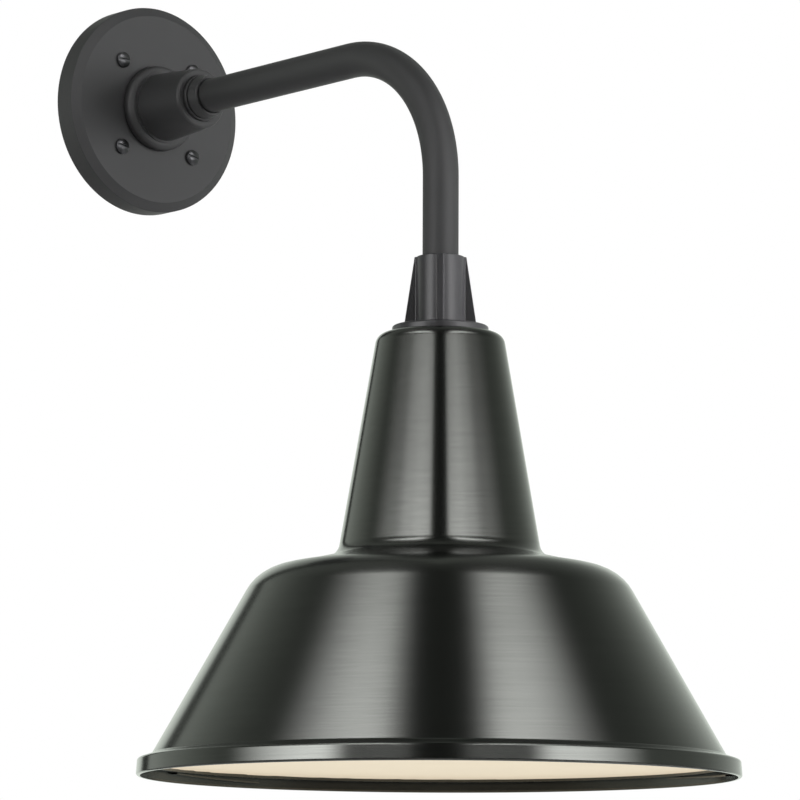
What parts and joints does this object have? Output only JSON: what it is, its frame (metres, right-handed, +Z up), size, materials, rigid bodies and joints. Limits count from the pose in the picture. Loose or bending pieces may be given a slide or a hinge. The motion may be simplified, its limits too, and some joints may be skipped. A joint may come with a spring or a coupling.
{
  "type": "outdoor barn light",
  "caption": "Gooseneck wall light: round wall canopy, bent tube arm, finned cap and a wide stepped metal shade closed below by an opal lens.",
  "frame": {"origin": "centre of the canopy's back on the wall plane, which is also the centre of the two wall box slots", "axes": "+Y into the wall, -Y along the arm away from it, +Z up, X level along the wall"},
  "size_m": [0.3559, 0.4772, 0.5115],
  "materials": {
    "powder_coat": "matte dark charcoal powder coat",
    "cast_grey": "satin dark grey coat on a casting",
    "bronze_lacquer": "glossy lacquer over circumferentially brushed dark bronze",
    "black_rubber": "matte",
    "zinc_steel": "zinc plated",
    "black_steel": "blackened steel",
    "green_steel": "green coated steel",
    "black_plastic": "matte",
    "white_plastic": "satin white",
    "green_plastic": "satin green",
    "porcelain": "glazed white",
    "contact_brass": "plain brass",
    "lamp_nickel": "nickel plated",
    "opal_plastic": "opal",
    "opal_lens": "satin opal, warm white"
  },
  "bodies": {
    "wall_plate": {"backplate": "powder_coat", "wall_gasket": "black_rubber", "mounting_plate": "zinc_steel", "posts": "zinc_steel", "ground_screw": "green_steel", "face_screw_1": "black_steel", "face_screw_2": "black_steel", "face_screw_3": "black_steel", "face_screw_4": "black_steel", "collar_ring": "powder_coat", "hub": "powder_coat", "hub_nut": "zinc_steel", "set_screw": "black_steel"},
    "arm": {"arm_tube": "powder_coat", "retaining_clip": "zinc_steel", "arm_ferrule": "powder_coat", "tube_bushing": "black_plastic", "lead_live": "black_plastic", "lead_neutral": "white_plastic", "lead_ground": "green_plastic", "socket_cap": "cast_grey", "cap_gasket": "black_rubber", "shade_neck": "bronze_lacquer", "shade_skirt": "bronze_lacquer", "nipple": "zinc_steel", "shade_washer": "zinc_steel", "shade_nut": "zinc_steel", "holder_nut": "zinc_steel", "lampholder_cap": "zinc_steel", "ground_terminal": "green_steel", "lampholder_body": "porcelain", "screw_shell": "contact_brass", "centre_contact": "contact_brass", "lens_gasket": "black_rubber", "ring_ramps": "bronze_lacquer"},
    "lamp": {"lamp_eyelet": "contact_brass", "lamp_insulator": "black_plastic", "lamp_base": "lamp_nickel", "lamp_body": "white_plastic", "lamp_dome": "opal_plastic"},
    "lens": {"lens": "opal_lens"},
    "lens_ring": {"lens_ring": "bronze_lacquer"}
  },
  "joints": [
    {"name": "arm_swivel", "type": "hinge", "parent": "wall_plate", "child": "arm", "pos_m": [0, 0, 0], "axis": [0, 1, 0], "range_deg": [-15, 15]},
    {"name": "lamp_unscrew", "type": "slide", "parent": "arm", "child": "lamp", "axis": [0, 0, -1], "range_m": [0, 0.024]},
    {"name": "lens_drop", "type": "slide", "parent": "arm", "child": "lens", "axis": [0, 0, -1], "range_m": [0, 0.002]},
    {"name": "ring_twist", "type": "hinge", "parent": "lens", "child": "lens_ring", "pos_m": [0, -0.2992, -0.4374], "axis": [0, 0, -1], "range_deg": [0, 24]}
  ],
  "couplings": [
    {"joint": "ring_twist", "follows": "lens_drop", "rad_per_m": 209.44}
  ]
}
